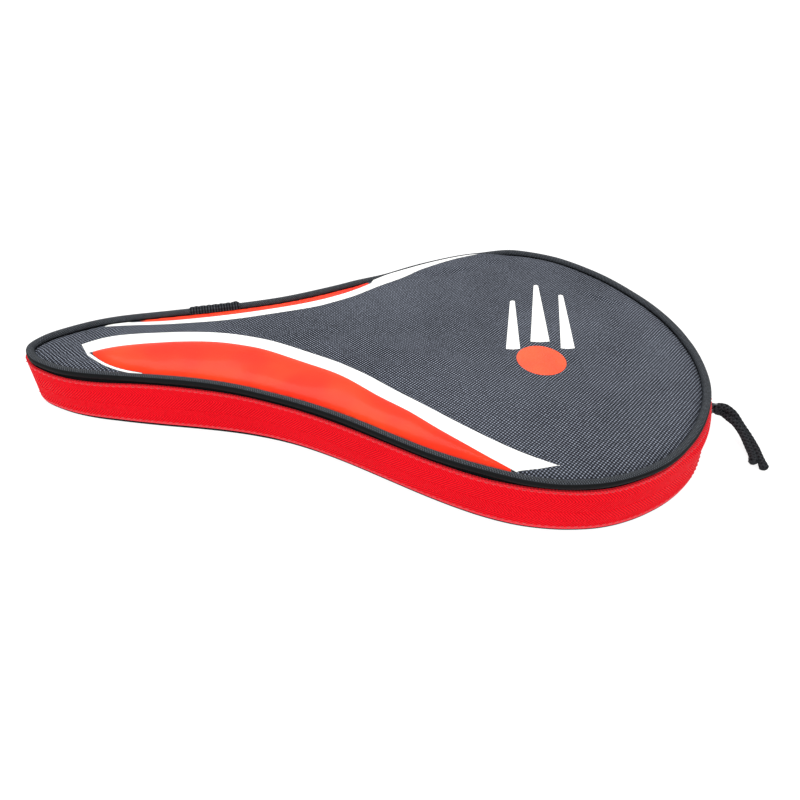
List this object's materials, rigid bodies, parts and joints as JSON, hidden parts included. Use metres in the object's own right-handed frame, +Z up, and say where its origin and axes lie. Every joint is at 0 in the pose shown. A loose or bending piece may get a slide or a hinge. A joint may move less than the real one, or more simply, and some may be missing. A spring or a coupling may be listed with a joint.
{
  "type": "table tennis paddle case",
  "caption": "Slim zip-up contour case for a table-tennis paddle: two padded fabric halves with piping, a fabric hinge at the head end, a coil zip and a cord puller.",
  "frame": {"origin": "middle of the case's length and width on the resting plane, under the rear cover", "axes": "+X from the handle end to the head end, +Y across the case, +Z up through the front cover"},
  "size_m": [0.3189, 0.1859, 0.0257],
  "materials": {
    "canvas": "coarse plain-woven slate polyester",
    "webbing": "matte black ribbed tape",
    "piping": "ribbed black fabric piping",
    "foam": "closed-cell foam sheet",
    "lining": "smooth woven nylon lining",
    "zip_tape": "bright red herringbone zip tape",
    "zip_coil": "red nylon coil",
    "inlay": "glossy orange coated fabric",
    "print_orange": "satin transfer print",
    "stripe": "white satin transfer film",
    "metal": "black enamelled zinc",
    "cord": "black braided polyester cord"
  },
  "bodies": {
    "rear_half": {"rear_cover": "canvas", "rear_edge_binding": "webbing", "rear_foam": "foam", "rear_lining": "lining", "seam_binding_lower": "webbing", "zip_tape_lower": "zip_tape", "zip_coil_lower": "zip_coil", "hinge_strip_lower": "webbing", "zip_top_stop": "metal", "zip_bottom_stop": "metal"},
    "front_half": {"front_cover": "canvas", "front_foam": "foam", "front_lining": "lining", "seam_binding_upper": "webbing", "zip_tape_upper": "zip_tape", "zip_coil_upper": "zip_coil", "hinge_strip_upper": "webbing", "front_piping": "piping", "piping_join": "webbing", "stripe_near": "stripe", "inlay_near": "inlay", "stripe_far": "stripe", "inlay_far": "inlay", "print_streak_a": "stripe", "print_streak_b": "stripe", "print_streak_c": "stripe", "print_ball": "print_orange"},
    "slider": {"zip_slider": "metal"},
    "puller": {"zip_puller": "metal", "pull_cord": "cord"}
  },
  "joints": [
    {"name": "lid_hinge", "type": "hinge", "parent": "rear_half", "child": "front_half", "pos_m": [0.1537, 0, 0.0126], "axis": [0, 1, 0], "range_deg": [0, 165]},
    {"name": "slider_travel", "type": "hinge", "parent": "rear_half", "child": "slider", "pos_m": [0.048, 0, 0.01], "axis": [0, 0, 1], "range_deg": [-13, 0]},
    {"name": "puller_swing", "type": "hinge", "parent": "slider", "child": "puller", "pos_m": [0.14921, -0.03387, 0.01], "axis": [0, 0, 1], "range_deg": [-40, 80], "deforming": ["pull_cord"]}
  ]
}
